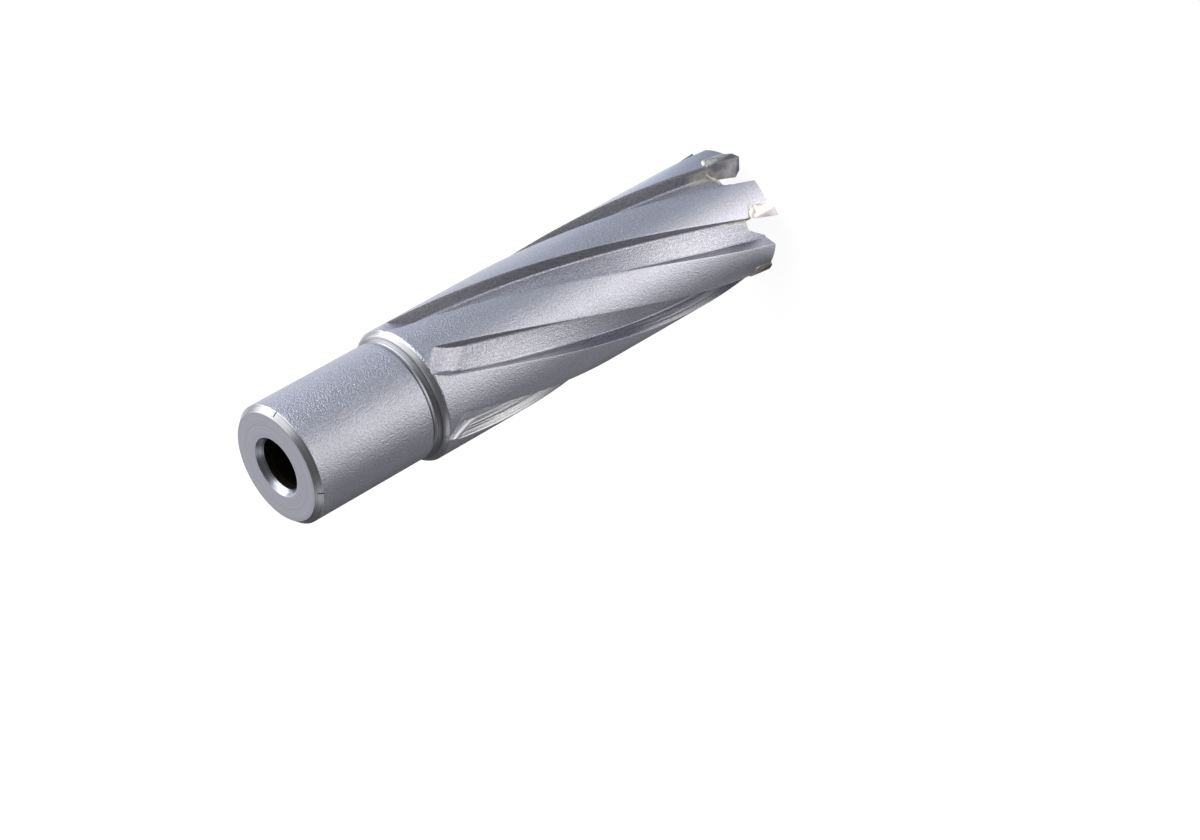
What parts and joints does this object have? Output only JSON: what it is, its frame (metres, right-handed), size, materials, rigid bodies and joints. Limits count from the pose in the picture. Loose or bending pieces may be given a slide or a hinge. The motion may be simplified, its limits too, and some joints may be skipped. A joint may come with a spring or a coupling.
{
  "type": "annular cutter",
  "caption": "Hollow steel core drill with a plain drive shank, right-hand helical flutes and brazed carbide tips round its open end.",
  "frame": {"origin": "on the cutter's axis, in the plane of the lowest points of the six tips", "axes": "+Z along the axis, from the teeth to the rear face of the shank; the cutting face of tip 1 crosses z = 0 at +X"},
  "size_m": [0.0222, 0.0218, 0.0938],
  "materials": {
    "body_steel": "fine blasted steel, bluish grey, with the chamfers bright from the lathe",
    "carbide": "ground tungsten carbide, satin, darker than the steel",
    "braze": "silver braze, pale cream, matt from the flux"
  },
  "bodies": {
    "root": {"cutter_body": "body_steel", "carbide_tip_1": "carbide", "carbide_tip_2": "carbide", "carbide_tip_3": "carbide", "carbide_tip_4": "carbide", "carbide_tip_5": "carbide", "carbide_tip_6": "carbide", "braze_joint_1": "braze", "braze_joint_2": "braze", "braze_joint_3": "braze", "braze_joint_4": "braze", "braze_joint_5": "braze", "braze_joint_6": "braze"}
  },
  "joints": []
}
